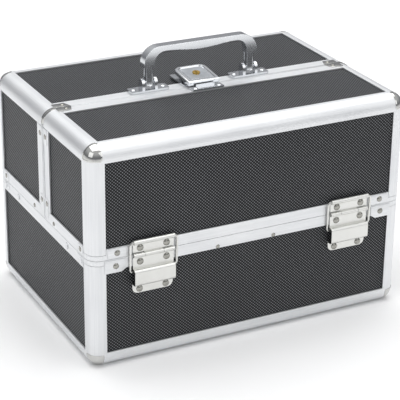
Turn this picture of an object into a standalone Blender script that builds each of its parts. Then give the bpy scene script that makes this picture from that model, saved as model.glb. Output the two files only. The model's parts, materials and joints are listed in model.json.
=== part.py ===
"""Makeup train case: a split-lid aluminium case with four stepped trays. Metres, +Z up.

The front is -Y. The origin is under the middle of the case, on the surface that it stands on.
"""

from math import atan2, cos, hypot, pi, radians, sin

import bmesh
import bpy
from mathutils import Euler, Matrix, Vector

# ---- Overall sizes
WIDTH = 0.300
DEPTH = 0.210
BASE_HEIGHT = 0.0994
LID_HEIGHT = 0.0988
SPLIT_Y = -0.008  # where the two lid halves meet
CLEAR = 0.0003  # gap between pieces that touch

# ---- Extrusions and panels
FLANGE = 0.014  # width of an outer extrusion on each face
ROUND = 0.011  # radius of its outer corner
ARC_STEPS = 6
SKIN = 0.0012  # outer wall of an extrusion
PANEL = 0.003
LINER = 0.001  # inner wall of an extrusion
CORE = 0.0116  # depth at which a panel's slot ends in an outer extrusion, past its rounded corner
RIM = 0.0097  # height of the rim strips
RIM_LIP = 0.0043  # height of the rim where it passes round a corner post
RIM_LAND = 0.003  # depth at which a panel's slot ends in a rim
MEETING = 0.0122  # width of the strips where the lids meet
END_PLATE = 0.0012  # the meeting frame's wall behind the ends of the outer extrusions

# ---- Hinges
HINGE_X = 0.094
LEAF_WIDTH = 0.037
LEAF = 0.0009
BARREL = 0.0019  # radius of a knuckle
HINGE_PIN = 0.00095
LID_KNUCKLE = 0.017  # length of the knuckle on the lid's leaf
ROLL_HEIGHT = 0.0119  # of the rolled edge over the hinge's axis
ROLL_WALL = 0.0007  # wall of the roll round the ring
RING_WIRE = 0.00105
RING_WIDTH = 0.0444
RING_LENGTH = 0.0268
RING_LEAN = radians(2.5)
RING_BEND = 0.0025
CHANNEL_DEPTH = 0.0056  # from the case's face to the front of the ring's channel
CHANNEL_TOP = 0.0128  # below the hinge's axis
CHANNEL_BOTTOM = 0.0268
CHANNEL_BEND = 0.0022
LEAF_BOTTOM = 0.0356

# ---- Trays and arms
TRAY_LENGTH = 0.277
TRAY_ROOM = 0.0155  # from a tray to the case's face
TRAY_HEIGHT = 0.0285
TRAY_WALL = 0.0016
TRAY_DIVIDERS = 2
TRAY_INSET = 0.0105  # from the middle of the case to a tray
LOWER_TRAY_Z = 0.1019
TRAY_GAP = 0.0010
ARM = 0.0012
ARM_WIDTH = 0.010
ARM_TOP_Y = 0.026  # from the middle of the case to a long arm's top pin, closed
ARM_TOP_RISE = 0.0034  # from an upper tray's underside to that pin
ARM_FOOT_Y = 0.019  # from the case's face to the long arm's foot
ARM_FOOT_DROP = 0.0046  # from the rim's top to the feet
ARM_SPACING = 0.030
LOWER_SHARE = 0.5  # how far along the long arm the lower tray hangs
ARM_PIN = 0.0016
FOOT_PIN_HOLD = 0.0009  # how far an arm's foot pin reaches into the rim
LID_PIN_HOLD = 0.0010  # how far an upper tray's pin reaches into a lid's panel
RIVET_HEAD = 0.0028
RIVET_RISE = 0.0009

# ---- Handle
HANDLE_X = 0.0490
HANDLE_Y = -0.0010
PIVOT_RISE = 0.0075  # from the lid to the handle's pivot
LEG_WIDTH = 0.0066
LEG_DEPTH = 0.0066
GRIP_TOP = 0.0325  # from the pivot
GRIP_FOOT = 0.0145  # where the grip ends on the legs
GRIP_DEPTH = 0.0092
GRIP_REACH = 0.0545  # half of the grip's length
GRIP_CORNER = 0.0150
GRIP_END = 0.0046  # thickness by the corners
GRIP_MIDDLE = 0.0072
GRIP_EDGE = 0.0020  # width of the rounding on its edges
GRIP_EDGE_ANGLE = radians(50)
BRACKET_LENGTH = 0.036
BRACKET_WIDTH = 0.0120
BRACKET_BASE = 0.0022
BRACKET_CORNER = 0.0020
EAR = 0.0026
EAR_RADIUS = 0.0042
EAR_GAP = 0.0014  # between a leg and an ear
HANDLE_PIN = 0.0015

# ---- Lock
LOCK_WIDTH = 0.034
LOCK_REAR = 0.0236
LOCK_PLATE = 0.0014
LEVER_WIDTH = 0.0306
LEVER_FRONT = -0.0114
LEVER_REAR = 0.0210
LEVER_THICK = 0.0040
LEVER_WALL = 0.0012
LEVER_CORNER = 0.0070
LEVER_TILT = radians(6)
LEVER_AXIS_Y = 0.0165
LEVER_AXIS_RISE = 0.0058
LEVER_BARREL = 0.0024
LEVER_PIN = 0.0008
HOOK_WIDTH = 0.006
HOOK = 0.0010  # thickness, and reach below the lever
LUG_X = 0.0070
LUG = 0.0020
LUG_RADIUS = 0.0016
CYLINDER_Y = 0.0045
CYLINDER = 0.0034
KEYWAY = 0.0005  # half of its width
KEYWAY_REACH = 0.0024
CATCH_WIDTH = 0.030
CATCH_PLATE = 0.0012
CATCH_BAR = 0.0030
CATCH_BAR_WIDTH = 0.018

# ---- Places worked out from them
HALF_W = WIDTH / 2
HALF_D = DEPTH / 2
LID_BOTTOM = BASE_HEIGHT + CLEAR
TOP = LID_BOTTOM + LID_HEIGHT
AXIS_Z = BASE_HEIGHT + CLEAR / 2
AXIS_Y = HALF_D + CLEAR + BARREL
WALL = SKIN + CLEAR + PANEL + CLEAR + LINER
PANEL_FACE = SKIN + CLEAR
TRAY_DEPTH = HALF_D - TRAY_INSET - TRAY_ROOM
UPPER_TRAY_Z = LOWER_TRAY_Z + TRAY_HEIGHT + TRAY_GAP
ARM_FOOT_Z = BASE_HEIGHT - ARM_FOOT_DROP
ARM_REACH_Y = HALF_D - ARM_FOOT_Y - ARM_TOP_Y  # from an arm's foot to its top pin, closed
ARM_REACH_Z = UPPER_TRAY_Z + ARM_TOP_RISE - ARM_FOOT_Z
FAR = 1.0
SIDES = {"front": -1, "rear": 1}
ENDS = {"left": -1, "right": 1}


def clear_scene():
    for obj in list(bpy.data.objects):
        bpy.data.objects.remove(obj, do_unlink=True)


def new_collection(name):
    made = bpy.data.collections.new(name)
    bpy.context.scene.collection.children.link(made)
    return made


def material(name, colour, metallic, roughness):
    made = bpy.data.materials.new(name)
    made.use_nodes = True
    shader = made.node_tree.nodes["Principled BSDF"]
    shader.inputs["Base Color"].default_value = (*colour, 1.0)
    shader.inputs["Metallic"].default_value = metallic
    shader.inputs["Roughness"].default_value = roughness
    return made


clear_scene()
PARTS = new_collection("makeup_train_case")
CUTTERS = new_collection("cutters")
ALUMINIUM = material("anodised_aluminium", (0.78, 0.79, 0.80), 1.0, 0.35)
ABS = material("black_abs", (0.035, 0.036, 0.038), 0.0, 0.45)
STEEL = material("nickel_plated_steel", (0.66, 0.66, 0.65), 1.0, 0.18)
CHROME = material("chrome", (0.75, 0.76, 0.77), 1.0, 0.06)
BRASS = material("brass", (0.72, 0.52, 0.18), 1.0, 0.25)
TRAY_PLASTIC = material("grey_tray_plastic", (0.12, 0.12, 0.125), 0.0, 0.5)


# ---- Shapes


def add(name, mesh, finish):
    obj = bpy.data.objects.new(name, mesh)
    if finish is None:
        CUTTERS.objects.link(obj)
        obj.hide_render = True
        obj.display_type = "WIRE"
    else:
        PARTS.objects.link(obj)
        mesh.materials.clear()
        mesh.materials.append(finish)
    return obj


def add_shape(name, shape, finish):
    mesh = bpy.data.meshes.new(name)
    shape.to_mesh(mesh)
    shape.free()
    return add(name, mesh, finish)


def cube(x, y, z):
    """A bmesh box between two places on each axis, given in either order."""
    low = Vector(min(pair) for pair in (x, y, z))
    high = Vector(max(pair) for pair in (x, y, z))
    shape = bmesh.new()
    bmesh.ops.create_cube(shape, size=1.0)
    bmesh.ops.scale(shape, vec=high - low, verts=shape.verts)
    bmesh.ops.translate(shape, vec=(low + high) / 2, verts=shape.verts)
    return shape


def block(name, x, y, z, finish=None):
    return add_shape(name, cube(x, y, z), finish)


def rounded_block(name, x, y, z, is_round, finish):
    """A box whose edges are rounded where is_round says so of their middle."""
    shape = cube(x, y, z)
    edges = [e for e in shape.edges if is_round((e.verts[0].co + e.verts[1].co) / 2)]
    bmesh.ops.bevel(
        shape,
        geom=edges,
        offset=ROUND,
        offset_type="OFFSET",
        segments=ARC_STEPS,
        profile=0.5,
        affect="EDGES",
        material=-1,
    )
    return add_shape(name, shape, finish)


AXIS_TURNS = {"X": Euler((0, pi / 2, 0)), "Y": Euler((-pi / 2, 0, 0)), "Z": Euler((0, 0, 0))}


def rod(name, axis, centre, radius, length, finish=None, sides=12):
    """A cylinder along an axis, about a centre."""
    shape = bmesh.new()
    bmesh.ops.create_cone(
        shape,
        cap_ends=True,
        segments=sides,
        radius1=radius,
        radius2=radius,
        depth=length,
    )
    turn = AXIS_TURNS[axis].to_matrix().to_4x4()
    bmesh.ops.transform(shape, matrix=Matrix.Translation(centre) @ turn, verts=shape.verts)
    return add_shape(name, shape, finish)


OUTLINE_TURNS = {
    "X": Matrix(((0, 0, 1, 0), (1, 0, 0, 0), (0, 1, 0, 0), (0, 0, 0, 1))),
    "Y": Matrix(((1, 0, 0, 0), (0, 0, -1, 0), (0, 1, 0, 0), (0, 0, 0, 1))),
    "Z": Matrix.Identity(4),
}


def outline(name, axis, points, low, high, finish=None):
    """A flat outline, given on the other two axes, thickened from low to high along this one."""
    curve = bpy.data.curves.new(name, "CURVE")
    curve.dimensions = "2D"
    curve.fill_mode = "BOTH"
    curve.extrude = abs(high - low) / 2
    spline = curve.splines.new("POLY")
    spline.points.add(len(points) - 1)
    for point, (u, v) in zip(spline.points, points):
        point.co = (u, v, 0, 1)
    spline.use_cyclic_u = True
    guide = bpy.data.objects.new(name + "_guide", curve)
    CUTTERS.objects.link(guide)
    graph = bpy.context.evaluated_depsgraph_get()
    mesh = bpy.data.meshes.new_from_object(guide.evaluated_get(graph))
    bpy.data.objects.remove(guide, do_unlink=True)
    shape = bmesh.new()
    shape.from_mesh(mesh)
    bpy.data.meshes.remove(mesh)
    bmesh.ops.remove_doubles(shape, verts=shape.verts, dist=1e-6)
    middle = {"X": (1, 0, 0), "Y": (0, 1, 0), "Z": (0, 0, 1)}[axis]
    shift = Matrix.Translation(Vector(middle) * (low + high) / 2)
    bmesh.ops.transform(shape, matrix=shift @ OUTLINE_TURNS[axis], verts=shape.verts)
    bmesh.ops.recalc_face_normals(shape, faces=shape.faces)
    return add_shape(name, shape, finish)


def arc(u, v, radius, start, end, steps):
    """Points round a centre, from one angle to another in degrees."""
    turns = [radians(start + (end - start) * i / steps) for i in range(steps + 1)]
    return [(u + radius * cos(t), v + radius * sin(t)) for t in turns]


def combine(obj, other, operation):
    step = obj.modifiers.new(other.name, "BOOLEAN")
    step.object = other
    step.operation = operation
    step.solver = "EXACT"


def cut(obj, *cutters):
    for cutter in cutters:
        combine(obj, cutter, "DIFFERENCE")


def join(obj, *others):
    for other in others:
        combine(obj, other, "UNION")


def pivot(name, place):
    """An empty on a joint's axis, which carries what turns with it."""
    made = bpy.data.objects.new(name, None)
    made.location = place
    PARTS.objects.link(made)
    return made


def carry(empty, *pieces):
    """Makes pieces, and what they are cut with, children of an empty, where they are."""
    for piece in pieces:
        piece.parent = empty
        piece.location -= empty.location
        for step in piece.modifiers:
            if step.type == "BOOLEAN" and step.object.parent is None:
                carry(empty, step.object)


def both(reach):
    return (-reach, reach)


# ---- The shell: walls, extrusions, corner caps


def corner_cap(name, corner, inward):
    """An eighth of a ball, at a corner of the case."""
    centre = Vector(corner) + ROUND * Vector(inward)
    shape = bmesh.new()
    bmesh.ops.create_uvsphere(
        shape, u_segments=4 * ARC_STEPS, v_segments=2 * ARC_STEPS, radius=ROUND
    )
    for axis in range(3):
        normal = Vector((0, 0, 0))
        normal[axis] = -inward[axis]
        bmesh.ops.bisect_plane(
            shape,
            geom=shape.verts[:] + shape.edges[:] + shape.faces[:],
            dist=1e-7,
            plane_co=(0, 0, 0),
            plane_no=normal,
            clear_inner=True,
        )
        bmesh.ops.holes_fill(shape, edges=shape.edges[:], sides=0)
    bmesh.ops.recalc_face_normals(shape, faces=shape.faces)
    bmesh.ops.translate(shape, vec=centre, verts=shape.verts)
    return add_shape(name, shape, STEEL)


def corner_room(name, corner, inward, reach):
    """A cutter for the corner of a frame, a reach along each axis."""
    spans = [(c - FAR * i, c + r * i) for c, i, r in zip(corner, inward, reach)]
    return block(name, *spans)


def slot(distance, side):
    """The two faces of a panel's slot, on one side of the case."""
    outer = distance - SKIN
    return (side * outer, side * (outer - 2 * CLEAR - PANEL))


def plate(distance, side):
    """The two faces of a panel, on one side of the case."""
    outer = distance - PANEL_FACE
    return (side * outer, side * (outer - PANEL))


def build_base():
    core_x = HALF_W - CORE
    core_y = HALF_D - CORE
    frame_top = BASE_HEIGHT - RIM_LIP - CLEAR
    frame = rounded_block(
        "base_edge_frame",
        both(HALF_W),
        both(HALF_D),
        (0, frame_top),
        lambda m: m.z < frame_top - ROUND,
        ALUMINIUM,
    )
    cut(
        frame,
        block("base_hollow", both(HALF_W - WALL), both(HALF_D - WALL), (WALL, FAR)),
        block("base_front_window", both(HALF_W - FLANGE), both(FAR), (FLANGE, FAR)),
        block("base_side_window", both(FAR), both(HALF_D - FLANGE), (FLANGE, FAR)),
        block("base_floor_window", both(HALF_W - FLANGE), both(HALF_D - FLANGE), both(FAR)),
        block("base_floor_slot", both(core_x), both(core_y), slot(0, -1)),
    )
    rim = rounded_block(
        "base_rim",
        both(HALF_W),
        both(HALF_D),
        (BASE_HEIGHT - RIM, BASE_HEIGHT),
        lambda m: abs(m.x) > HALF_W - CLEAR and abs(m.y) > HALF_D - CLEAR,
        ALUMINIUM,
    )
    cut(rim, block("base_rim_hollow", both(HALF_W - WALL), both(HALF_D - WALL), both(FAR)))
    slot_top = BASE_HEIGHT - RIM_LAND
    panel_z = (CORE + CLEAR, slot_top - CLEAR)
    for side, sign in SIDES.items():
        y = slot(HALF_D, sign)
        cut(frame, block(f"base_{side}_slot", both(core_x), y, (CORE, FAR)))
        cut(rim, block(f"base_{side}_rim_slot", both(core_x), y, (0, slot_top)))
        block(f"base_{side}_panel", both(core_x - CLEAR), plate(HALF_D, sign), panel_z, ABS)
    for end, sign in ENDS.items():
        x = slot(HALF_W, sign)
        cut(frame, block(f"base_{end}_slot", x, both(core_y), (CORE, FAR)))
        cut(rim, block(f"base_{end}_rim_slot", x, both(core_y), (0, slot_top)))
        block(f"base_{end}_panel", plate(HALF_W, sign), both(core_y - CLEAR), panel_z, ABS)
    block("base_floor_panel", both(core_x - CLEAR), both(core_y - CLEAR), plate(0, -1), ABS)
    for side, sy in SIDES.items():
        for end, sx in ENDS.items():
            name = f"base_{side}_{end}_corner"
            corner = (sx * HALF_W, sy * HALF_D, 0)
            inward = (-sx, -sy, 1)
            corner_cap(name + "_cap", corner, inward)
            cut(frame, corner_room(name + "_room", corner, inward, [ROUND + CLEAR] * 3))
            post = [FLANGE + CLEAR, FLANGE + CLEAR, BASE_HEIGHT - RIM_LIP]
            cut(rim, corner_room(name + "_post_room", corner, inward, post))
    return rim


def build_lid(side, sign):
    """One lid half. Its face is on the side's face, and it is open below and where the halves meet."""
    empty = pivot(f"{side}_lid", (0, sign * AXIS_Y, AXIS_Z))
    name = f"{side}_lid"
    face = sign * HALF_D
    meeting = SPLIT_Y + sign * CLEAR / 2
    beyond = -sign * FAR
    core_x = HALF_W - CORE
    core_y = sign * (HALF_D - CORE)
    core_z = TOP - CORE
    liner_y = sign * (HALF_D - WALL)
    stile = meeting + sign * MEETING
    panel_end = meeting + sign * RIM_LAND
    panel_foot = LID_BOTTOM + RIM_LAND
    post_foot = LID_BOTTOM + RIM_LIP + CLEAR
    rail_end = meeting + sign * (END_PLATE + CLEAR)

    def is_outer(m, top=True):
        upright = abs(m.x) > HALF_W - CLEAR and abs(m.y - face) < CLEAR
        at_side = abs(m.x) > HALF_W - CLEAR or abs(m.y - face) < CLEAR
        return upright or (top and at_side and m.z > TOP - CLEAR)

    frame = rounded_block(
        f"{name}_edge_frame", both(HALF_W), (face, rail_end), (post_foot, TOP), is_outer, ALUMINIUM
    )
    hollow = block(f"{name}_hollow", both(HALF_W - WALL), (liner_y, beyond), (0, TOP - WALL))
    flange_y = sign * (HALF_D - FLANGE)
    cut(
        frame,
        hollow,
        block(f"{name}_face_window", both(HALF_W - FLANGE), both(FAR), (0, TOP - FLANGE)),
        block(f"{name}_side_window", both(FAR), (flange_y, beyond), (0, TOP - FLANGE)),
        block(f"{name}_top_window", both(HALF_W - FLANGE), (flange_y, beyond), both(FAR)),
    )
    rim = rounded_block(
        f"{name}_rim",
        both(HALF_W),
        (face, meeting),
        (LID_BOTTOM, LID_BOTTOM + RIM),
        lambda m: is_outer(m, top=False),
        ALUMINIUM,
    )
    cut(rim, hollow)
    arch = rounded_block(
        f"{name}_meeting_frame",
        both(HALF_W),
        (stile, meeting),
        (LID_BOTTOM + RIM + CLEAR, TOP),
        lambda m: abs(m.x) > HALF_W - CLEAR and m.z > TOP - CLEAR,
        ALUMINIUM,
    )
    cut(arch, block(f"{name}_arch_hollow", both(HALF_W - WALL), both(FAR), (0, TOP - WALL)))

    top_z = slot(TOP, 1)
    face_y = slot(HALF_D, sign)
    slots = {
        "face": (both(core_x), face_y, (0, core_z)),
        "top": (both(core_x), (core_y, beyond), top_z),
    }
    panel_z = (panel_foot + CLEAR, core_z - CLEAR)
    panel_y = (core_y - sign * CLEAR, panel_end + sign * CLEAR)
    panels = [
        block(f"{name}_face_panel", both(core_x - CLEAR), plate(HALF_D, sign), panel_z, ABS),
        block(f"{name}_top_panel", both(core_x - CLEAR), panel_y, plate(TOP, 1), ABS),
    ]
    for end, sx in ENDS.items():
        slots[end] = (slot(HALF_W, sx), (core_y, beyond), (0, core_z))
        panels.append(block(f"{name}_{end}_panel", plate(HALF_W, sx), panel_y, panel_z, ABS))
    for which, spans in slots.items():
        cut(frame, block(f"{name}_{which}_slot", *spans))
        if which != "top":
            x, y, _ = spans
            y_end = y if which == "face" else (core_y, panel_end)
            cut(rim, block(f"{name}_{which}_rim_slot", x, y_end, (panel_foot, FAR)))
        if which != "face":
            x, _, z = spans
            cut(arch, block(f"{name}_{which}_stile_slot", x, (sign * FAR, panel_end), z))
    caps = []
    for end, sx in ENDS.items():
        corner = Vector((sx * HALF_W, face, TOP))
        inward = (-sx, -sign, -1)
        caps.append(corner_cap(f"{name}_{end}_corner_cap", corner, inward))
        cut(frame, corner_room(f"{name}_{end}_corner_room", corner, inward, [ROUND + CLEAR] * 3))
        post = corner_room(
            f"{name}_{end}_post_room",
            (corner.x, face, LID_BOTTOM + RIM_LIP),
            (-sx, -sign, 1),
            [FLANGE + CLEAR, FLANGE + CLEAR, FAR],
        )
        post.location.z += FAR
        cut(rim, post)
        rail_depth = abs(meeting + sign * END_PLATE - sign * FAR)
        rail = corner_room(
            f"{name}_{end}_rail_room",
            (corner.x, sign * FAR, TOP),
            inward,
            [FLANGE + CLEAR, rail_depth, FLANGE + CLEAR],
        )
        cut(arch, rail)
    carry(empty, frame, rim, arch, *panels, *caps)
    return empty, panels


# ---- Hinges


def sheet(name, path, half_width, thickness, finish):
    """A strip of metal bent along a path on Y and Z."""
    shape = bmesh.new()
    verts = [shape.verts.new((-half_width, y, z)) for y, z in path]
    edges = [shape.edges.new(pair) for pair in zip(verts, verts[1:])]
    swept = bmesh.ops.extrude_edge_only(shape, edges=edges)["geom"]
    moved = [v for v in swept if isinstance(v, bmesh.types.BMVert)]
    bmesh.ops.translate(shape, vec=(2 * half_width, 0, 0), verts=moved)
    bmesh.ops.recalc_face_normals(shape, faces=shape.faces)
    obj = add_shape(name, shape, finish)
    wall = obj.modifiers.new("wall", "SOLIDIFY")
    wall.thickness = thickness
    wall.offset = 0
    wall.use_even_offset = True
    return obj


def ring_path():
    """The ring's centre line on X and Z: a rectangle with bent corners, its top leg at 0."""
    half = RING_WIDTH / 2 - RING_WIRE
    u, low, high = half - RING_BEND, -RING_LENGTH + RING_BEND, -RING_BEND
    corners = [(u, high, 90, 0), (u, low, 0, -90), (-u, low, -90, -180), (-u, high, 180, 90)]
    return [point for cu, cv, a, b in corners for point in arc(cu, cv, RING_BEND, a, b, 4)]


def build_hinge(name, x, sign, lid):
    """Works at the front, then is turned to face its own side."""
    axis = Vector((0, -AXIS_Y, AXIS_Z))
    back = -HALF_D - CLEAR - LEAF / 2
    flange = -HALF_D + PANEL_FACE - CLEAR - LEAF / 2
    channel = -HALF_D - CHANNEL_DEPTH + LEAF / 2
    half = LEAF_WIDTH / 2
    outer = half - LID_KNUCKLE / 2 - CLEAR
    start = BARREL + CLEAR

    top, bottom = AXIS_Z - CHANNEL_TOP, AXIS_Z - CHANNEL_BOTTOM
    bend = CHANNEL_BEND
    path = [(back, AXIS_Z - start), (back, top)]
    path += arc(channel + bend, top - bend, bend, 90, 180, 4)
    path += arc(channel + bend, bottom + bend, bend, 180, 270, 4)
    path += [(flange, bottom), (flange, AXIS_Z - LEAF_BOTTOM)]
    base_leaf = sheet(f"{name}_base_leaf", path, half, LEAF, STEEL)
    lid_leaf = sheet(
        f"{name}_lid_leaf",
        [(back, AXIS_Z + start), (back, AXIS_Z + ROLL_HEIGHT - RING_WIRE)],
        half,
        LEAF,
        STEEL,
    )
    tab_y = (back - LEAF / 2, back + LEAF / 2)
    for sx in ENDS.values():
        middle = sx * (half - outer / 2)
        tab_x = (sx * half, sx * (half - outer))
        join(
            base_leaf,
            block(f"{name}_tab_{sx}", tab_x, tab_y, (AXIS_Z - start - LEAF, AXIS_Z - BARREL / 2)),
            rod(f"{name}_knuckle_{sx}", "X", (middle, *axis.yz), BARREL, outer),
        )
    bore = rod(f"{name}_bore", "X", axis, HINGE_PIN + CLEAR, 2 * LEAF_WIDTH)
    cut(base_leaf, bore)
    roll_radius = RING_WIRE + CLEAR + ROLL_WALL
    roll = Vector((0, -HALF_D - CLEAR - roll_radius, AXIS_Z + ROLL_HEIGHT))
    join(
        lid_leaf,
        block(
            f"{name}_lid_tab",
            both(LID_KNUCKLE / 2),
            tab_y,
            (AXIS_Z + BARREL / 2, AXIS_Z + start + LEAF),
        ),
        rod(f"{name}_lid_knuckle", "X", axis, BARREL, LID_KNUCKLE),
        rod(f"{name}_pin", "X", axis, HINGE_PIN, LEAF_WIDTH),
        rod(f"{name}_roll", "X", roll, roll_radius, LEAF_WIDTH),
    )
    cut(lid_leaf, rod(f"{name}_roll_bore", "X", roll, RING_WIRE + CLEAR, 2 * LEAF_WIDTH))

    curve = bpy.data.curves.new(f"{name}_ring", "CURVE")
    curve.dimensions = "3D"
    curve.bevel_depth = RING_WIRE
    curve.bevel_resolution = 2
    spline = curve.splines.new("POLY")
    path = ring_path()
    spline.points.add(len(path) - 1)
    for point, (u, v) in zip(spline.points, path):
        point.co = (u, -v * sin(RING_LEAN), v * cos(RING_LEAN), 1)
    spline.use_cyclic_u = True
    curve.materials.append(STEEL)
    ring = bpy.data.objects.new(f"{name}_ring", curve)
    PARTS.objects.link(ring)

    turn = Matrix.Rotation(0 if sign < 0 else pi, 4, "Z")
    pieces = [base_leaf, lid_leaf]
    pieces += [step.object for leaf in pieces for step in leaf.modifiers if step.type == "BOOLEAN"]
    for piece in pieces:
        piece.matrix_world = Matrix.Translation((x, 0, 0)) @ turn
    ring.matrix_world = Matrix.Translation((x, 0, 0)) @ turn @ Matrix.Translation(roll)
    carry(lid, lid_leaf, ring)


# ---- Trays and their arms


def arm_feet(sign):
    """The long and the short arm's feet, on Y and Z."""
    foot_y = HALF_D - ARM_FOOT_Y
    return (sign * foot_y, ARM_FOOT_Z), (sign * (foot_y - ARM_SPACING), ARM_FOOT_Z)


def build_arm(name, foot, reach, pins, sx, sign):
    """A flat arm standing on its foot, then turned to its closed place."""
    inner = HALF_W - WALL - 2 * CLEAR - 2 * ARM
    rounded = arc(0, reach, ARM_WIDTH / 2, 0, 180, 8) + arc(0, 0, ARM_WIDTH / 2, 180, 360, 8)
    low, high = sorted((sx * inner, sx * (inner + ARM)))
    arm = outline(name, "X", rounded, low, high, STEEL)
    foot_pin = HALF_W - WALL + FOOT_PIN_HOLD
    tray_pin = TRAY_LENGTH / 2 - TRAY_WALL
    foot_middle = sx * (inner + foot_pin) / 2
    studs = [rod(f"{name}_foot_pin", "X", (foot_middle, 0, 0), ARM_PIN, foot_pin - inner)]
    for height in pins:
        middle = sx * (inner + ARM / 2 + tray_pin) / 2
        length = inner + ARM / 2 - tray_pin
        studs.append(rod(f"{name}_pin_{len(studs)}", "X", (middle, 0, height), ARM_PIN, length))
    join(arm, *studs)
    turn = Euler((sign * atan2(ARM_REACH_Y, ARM_REACH_Z), 0, 0))
    for piece in (arm, *studs):
        piece.rotation_euler = turn
        piece.location = (0, *foot)


def build_tray(name, sign, low_z, holes):
    near = sign * TRAY_INSET
    far = sign * (TRAY_INSET + TRAY_DEPTH)
    spans = (both(TRAY_LENGTH / 2), (near, far), (low_z, low_z + TRAY_HEIGHT))
    tray = block(name, *spans, TRAY_PLASTIC)
    inner = TRAY_LENGTH - 2 * TRAY_WALL
    cell = (inner - TRAY_DIVIDERS * TRAY_WALL) / (TRAY_DIVIDERS + 1)
    room_y = (near + sign * TRAY_WALL, far - sign * TRAY_WALL)
    for i in range(TRAY_DIVIDERS + 1):
        start = -inner / 2 + i * (cell + TRAY_WALL)
        room = block(f"{name}_cell_{i}", (start, start + cell), room_y, (low_z + TRAY_WALL, FAR))
        cut(tray, room)
    for i, (y, z) in enumerate(holes):
        for end, sx in ENDS.items():
            place = (sx * (TRAY_LENGTH - TRAY_WALL) / 2, y, z)
            cut(tray, rod(f"{name}_{end}_hole_{i}", "X", place, ARM_PIN + CLEAR, 2 * TRAY_WALL))
    return tray


def build_half(side, sign, rim, lid_panels):
    long_foot, short_foot = arm_feet(sign)
    reach = hypot(ARM_REACH_Y, ARM_REACH_Z)
    share = LOWER_SHARE
    top_pin = (long_foot[0] - sign * ARM_REACH_Y, long_foot[1] + ARM_REACH_Z)
    low_pins = [
        (foot[0] - sign * share * ARM_REACH_Y, foot[1] + share * ARM_REACH_Z)
        for foot in (long_foot, short_foot)
    ]
    lid_pin = (sign * (AXIS_Y - ARM_REACH_Y), AXIS_Z + ARM_REACH_Z)
    build_tray(f"{side}_lower_tray", sign, LOWER_TRAY_Z, low_pins)
    upper = build_tray(f"{side}_upper_tray", sign, UPPER_TRAY_Z, [top_pin])
    lid_span = WIDTH - 2 * PANEL_FACE - PANEL
    lid_bore = rod(f"{side}_lid_pin_bore", "X", (0, *lid_pin), ARM_PIN + CLEAR, lid_span)
    for end, sx in ENDS.items():
        stud_end = HALF_W - WALL + LINER + CLEAR + LID_PIN_HOLD
        stud_start = TRAY_LENGTH / 2 - TRAY_WALL / 2
        middle = sx * (stud_end + stud_start) / 2
        length = stud_end - stud_start
        join(upper, rod(f"{side}_{end}_lid_pin", "X", (middle, *lid_pin), ARM_PIN, length))
        build_arm(f"{side}_{end}_long_arm", long_foot, reach, [reach * share, reach], sx, sign)
        build_arm(f"{side}_{end}_short_arm", short_foot, reach * share, [reach * share], sx, sign)
    foot_span = WIDTH - 2 * SKIN - 3 * CLEAR
    for i, foot in enumerate((long_foot, short_foot)):
        cut(rim, rod(f"{side}_foot_bore_{i}", "X", (0, *foot), ARM_PIN + CLEAR, foot_span))
        for end, sx in ENDS.items():
            head = (sx * (HALF_W + RIVET_RISE / 2 - CLEAR), *foot)
            rise = RIVET_RISE + 2 * CLEAR
            join(rim, rod(f"{side}_{end}_rivet_{i}", "X", head, RIVET_HEAD, rise))
    for panel in lid_panels:
        if panel.name.endswith(("left_panel", "right_panel")):
            cut(panel, lid_bore)


# ---- Handle


def build_handle(lid):
    empty = pivot("handle_pivot", (0, HANDLE_Y, TOP + PIVOT_RISE))
    z = TOP + PIVOT_RISE
    reach, corner = GRIP_REACH, GRIP_CORNER
    thick = GRIP_REACH - HANDLE_X + LEG_WIDTH / 2 + CLEAR
    inner = reach - thick - 2 * CLEAR
    bend = corner - thick / 2
    under = z + GRIP_TOP - GRIP_END
    dip = GRIP_MIDDLE - GRIP_END
    outer_side = arc(reach - corner, z + GRIP_TOP - corner, corner, 0, 90, 8)
    inner_side = arc(inner - bend, under - bend, bend, 90, 0, 6)
    flat = inner - bend
    steps = [i / 5 for i in range(-4, 5)]
    belly = [(flat * t, under - dip * cos(pi * t / 2) ** 2) for t in steps]
    half = [(reach, z + GRIP_FOOT), *outer_side]
    points = half + [(-u, v) for u, v in reversed(half)]
    lower = [(-inner, z + GRIP_FOOT)] + [(-u, v) for u, v in reversed(inner_side)]
    points += lower + belly + [(-u, v) for u, v in reversed(lower)]
    grip_low = HANDLE_Y - GRIP_DEPTH / 2
    handle = outline("handle", "Y", points, grip_low, grip_low + GRIP_DEPTH, CHROME)
    edge = handle.modifiers.new("soft_edges", "BEVEL")
    edge.width = GRIP_EDGE
    edge.segments = 3
    edge.limit_method = "ANGLE"
    edge.angle_limit = GRIP_EDGE_ANGLE
    pin = rod("handle_pin_bore", "X", (0, HANDLE_Y, z), HANDLE_PIN + CLEAR, WIDTH)
    for end, sx in ENDS.items():
        x = sx * HANDLE_X
        foot = arc(HANDLE_Y, z, LEG_DEPTH / 2, 180, 360, 6)
        head = z + GRIP_FOOT + LEG_DEPTH
        shape = foot + [(HANDLE_Y + LEG_DEPTH / 2, head), (HANDLE_Y - LEG_DEPTH / 2, head)]
        leg_low = x - LEG_WIDTH / 2
        join(handle, outline(f"handle_{end}_leg", "X", shape, leg_low, leg_low + LEG_WIDTH))
        build_bracket(f"handle_{end}_bracket", x, z, lid)
    cut(handle, pin)
    carry(empty, handle)
    empty.parent = lid
    empty.location -= lid.location


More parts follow.
